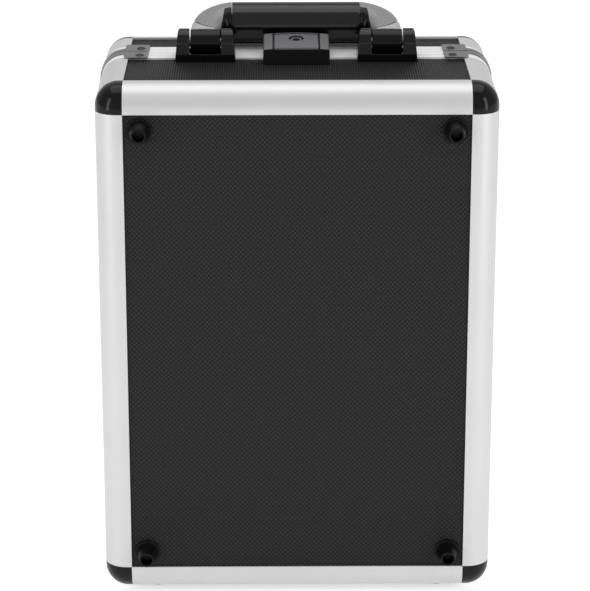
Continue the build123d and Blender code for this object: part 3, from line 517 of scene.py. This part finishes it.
# %% Handing out the finishes
def smooth(mesh, sharp_from):
    """Shades a mesh smooth, apart from edges that turn by more than some degrees."""
    for face in mesh.polygons:
        face.use_smooth = True
    mesh.set_sharp_from_angle(angle=math.radians(sharp_from))


for name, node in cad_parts.items():
    node.data.materials.clear()
    node.data.materials.append(finish_by_node[name])
    smooth(node.data, sharp_from=32)
print("finished nodes:", len(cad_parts))

# %% [markdown]
# ## Foam lining
#
# Each half is lined with two cut pieces of foam: a wall round the rim, with its top edge eased
# over, and a pad of egg-crate foam on the floor that faces the opening. The CAD model holds one
# plain tray for both. The wall is a loop of the case outline carried through a small section,
# and the pad is a grid whose height is the product of two cosines, the shape that foam takes
# when it is pressed between rollers and split. Sculpting would give softer bumps, but not the
# even rows of a cut sheet.

# %% What the wall and the pad share
wall_thickness = 0.018


def tray(body):
    """The middle height and the half sizes of the lining of one half, seen from the front."""
    low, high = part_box(f"{body}_foam")
    return (low[2] + high[2]) / 2, (high[0] - low[0]) / 2, (high[2] - low[2]) / 2


def as_piece(mesh_code, name, node, body):
    """Turns finished mesh code into a piece that rides on a body and stands for a node."""
    bmesh.ops.recalc_face_normals(mesh_code, faces=mesh_code.faces)
    mesh = bpy.data.meshes.new(name)
    mesh_code.to_mesh(mesh)
    mesh_code.free()
    mesh.materials.append(foam_cells)
    smooth(mesh, sharp_from=50)
    piece = bpy.data.objects.new(name, mesh)
    bpy.context.scene.collection.objects.link(piece)
    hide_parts(node)
    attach(piece, body)
    print(name, "faces:", len(mesh.polygons))


for body in ("base", "lid"):
    print(body, "lining, middle and half sizes:", [round(v, 4) for v in tray(body)])

# %% The wall
outer_corner = 0.0113
tightest_corner = 0.006
ease = 0.003
ease_steps = 4


def outline(centre_z, half_x, half_z, radius, y, steps=7):
    """The points of a rounded rectangle that stands upright at one depth."""
    points = []
    for turn, (sx, sz) in enumerate(((1, 1), (-1, 1), (-1, -1), (1, -1))):
        for step in range(steps + 1):
            angle = math.pi / 2 * (turn + step / steps)
            x = sx * (half_x - radius) + radius * math.cos(angle)
            z = centre_z + sz * (half_z - radius) + radius * math.sin(angle)
            points.append((x, y, z))
    return points


def foam_wall(body, rim_y, back_y):
    """The strip of foam round the inside of one half, from its back to its eased rim."""
    centre_z, half_x, half_z = tray(body)
    into = 1 if back_y > rim_y else -1
    quarter = [math.pi / 2 * step / ease_steps for step in range(ease_steps + 1)]
    section = [(0, back_y)]
    for angle in quarter:
        section.append((ease - ease * math.cos(angle), rim_y + into * (ease - ease * math.sin(angle))))
    for angle in quarter:
        inset = wall_thickness - ease + ease * math.sin(angle)
        section.append((inset, rim_y + into * (ease - ease * math.cos(angle))))
    section.append((wall_thickness, back_y))
    wall = bmesh.new()
    rings = []
    for inset, y in section:
        radius = max(outer_corner - inset, tightest_corner)
        loop = outline(centre_z, half_x - inset, half_z - inset, radius, y)
        rings.append([wall.verts.new(point) for point in loop])
    for ring, following in zip(rings, rings[1:] + rings[:1]):
        for i in range(len(ring)):
            j = (i + 1) % len(ring)
            wall.faces.new((ring[i], ring[j], following[j], following[i]))
    as_piece(wall, f"{body}_foam_wall", f"{body}_foam", body)


print("wall:", wall_thickness, "m thick, its edge eased by", ease, "m")

# %% The pad
wave_pitch = 0.036
cells_per_wave = 10
pad_gap = 0.0006
pad_corner = 0.006
calm_margin = 0.010


def egg_crate(body, top_y, back_y, depth):
    """The pad of egg-crate foam on the floor of one half."""
    centre_z, half_x, half_z = tray(body)
    half_x -= wall_thickness + pad_gap
    half_z -= wall_thickness + pad_gap
    into = 1 if back_y > top_y else -1
    columns = round(2 * half_x / wave_pitch * cells_per_wave)
    rows = round(2 * half_z / wave_pitch * cells_per_wave)

    def spot(column, row):
        """One point of the waved face, with the pad's corners rounded and its edges calm."""
        x = half_x * (2 * column / columns - 1)
        z = half_z * (2 * row / rows - 1)
        over = Vector((max(abs(x) - half_x + pad_corner, 0), max(abs(z) - half_z + pad_corner, 0)))
        if over.length > pad_corner:
            pull = over - over.normalized() * pad_corner
            x, z = x - math.copysign(pull.x, x), z - math.copysign(pull.y, z)
        calm = min(min(half_x - abs(x), half_z - abs(z)) / calm_margin, 1.0)
        wave = math.cos(2 * math.pi * x / wave_pitch) * math.cos(2 * math.pi * z / wave_pitch)
        return x, top_y + into * depth * (0.5 - 0.5 * wave) * calm, centre_z + z

    pad = bmesh.new()
    sheet = [[pad.verts.new(spot(c, r)) for c in range(columns + 1)] for r in range(rows + 1)]
    for near_row, far_row in zip(sheet, sheet[1:]):
        for c in range(columns):
            pad.faces.new((near_row[c], near_row[c + 1], far_row[c + 1], far_row[c]))
    rim = [edge for edge in pad.edges if edge.is_boundary]
    skirt = bmesh.ops.extrude_edge_only(pad, edges=rim)["geom"]
    for vertex in skirt:
        if isinstance(vertex, bmesh.types.BMVert):
            vertex.co.y = back_y
    bmesh.ops.contextual_create(pad, geom=[edge for edge in pad.edges if edge.is_boundary])
    as_piece(pad, f"{body}_foam_pad", f"{body}_foam", body)


print("pad: one wave in", wave_pitch, "m")

# %% Lining both halves
pad_lift = 0.0005
base_pad, base_wave = 0.020, 0.012
lid_pad, lid_wave = 0.014, 0.009
base_back, base_rim = (corner[1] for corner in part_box("base_foam"))
lid_rim, lid_back = (corner[1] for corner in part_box("lid_foam"))
foam_wall("base", base_rim, base_back)
egg_crate("base", base_back + base_pad, base_back + pad_lift, base_wave)
foam_wall("lid", lid_rim, lid_back)
egg_crate("lid", lid_back - lid_pad, lid_back - pad_lift, lid_wave)

# %% [markdown]
# ## Studio
#
# The case stands on a plain white floor. Just behind its feet the floor steps down to a lower
# level, because the case opens past its own hinge side: on a flat floor the lid would swing out
# of sight below it. Both levels are the same white, so the step doesn't show while the case is
# shut. When the lid is wide open, the upper level still hides its hinge end. The floor answers
# camera and mirror rays with a little extra white, so it reads as paper, while the shadow under
# the case stays.

# %% Floor
floor_reach = 17.0
step_drop = 0.17
step_behind_feet = 0.002
added_white = grey(0.60)


def studio_floor():
    paper, shader, place = new_finish(
        "floor_paper",
        Specular_IOR_Level=0.0,
        Roughness=0.9,
        Base_Color=(*grey(0.86), 1),
        Emission_Strength=1.0,
    )
    camera_ray = place.make("ShaderNodeLightPath", output="Is Camera Ray")
    mirror_ray = place.make("ShaderNodeLightPath", output="Is Glossy Ray")
    seen = camera_ray + mirror_ray
    plug(place.tree, shader.inputs["Emission Color"], seen.shade(grey(0), added_white))
    step_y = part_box("lid_low_feet")[1][1] + step_behind_feet
    profile = ((-floor_reach, 0), (step_y, 0), (step_y, -step_drop), (floor_reach, -step_drop))
    points = [(x, y, z) for y, z in profile for x in (-floor_reach, floor_reach)]
    mesh = bpy.data.meshes.new("floor")
    mesh.from_pydata(points, [], [(0, 1, 3, 2), (2, 3, 5, 4), (4, 5, 7, 6)])
    mesh.materials.append(paper)
    floor = bpy.data.objects.new("floor", mesh)
    bpy.context.scene.collection.objects.link(floor)
    print("floor steps down by", step_drop, "at y", round(step_y, 4))


studio_floor()

# %% [markdown]
# ## Lamps
#
# The light is soft: a broad lamp overhead, and a tall one at each side in front, which put the
# long highlights down the rounded edges. A sun would give hard shadows that the photograph
# doesn't have. The right strip is a little stronger, as the right edge is the brighter one. The
# white air round the case fills the shadows.


# %% Lamps
def softbox(name, place, aim, width, height, power):
    """A rectangular lamp at a place, turned towards a point."""
    lamp = bpy.data.lights.new(name, "AREA")
    lamp.shape = "RECTANGLE"
    lamp.size, lamp.size_y, lamp.energy = width, height, power
    holder = bpy.data.objects.new(name, lamp)
    bpy.context.scene.collection.objects.link(holder)
    holder.location = place
    holder.rotation_euler = (Vector(aim) - Vector(place)).to_track_quat("-Z", "Y").to_euler()
    print("lamp:", name, power, "W")


case_middle = (0, 0, 0.25)
softbox("overhead", place=(0, 0.3, 2.4), aim=(0, 0, 0.3), width=2.4, height=1.8, power=20)
softbox("left_strip", place=(-2.0, -1.6, 0.9), aim=case_middle, width=0.45, height=2.4, power=15)
softbox("right_strip", place=(2.0, -1.6, 0.9), aim=case_middle, width=0.45, height=2.4, power=18)

# %% Air
air_strength = 0.55
world = bpy.data.worlds.new("studio_air")
bpy.context.scene.world = world
world.use_nodes = True
air = world.node_tree.nodes["Background"]
air.inputs["Color"].default_value = (1, 1, 1, 1)
air.inputs["Strength"].default_value = air_strength
print("air strength:", air_strength)
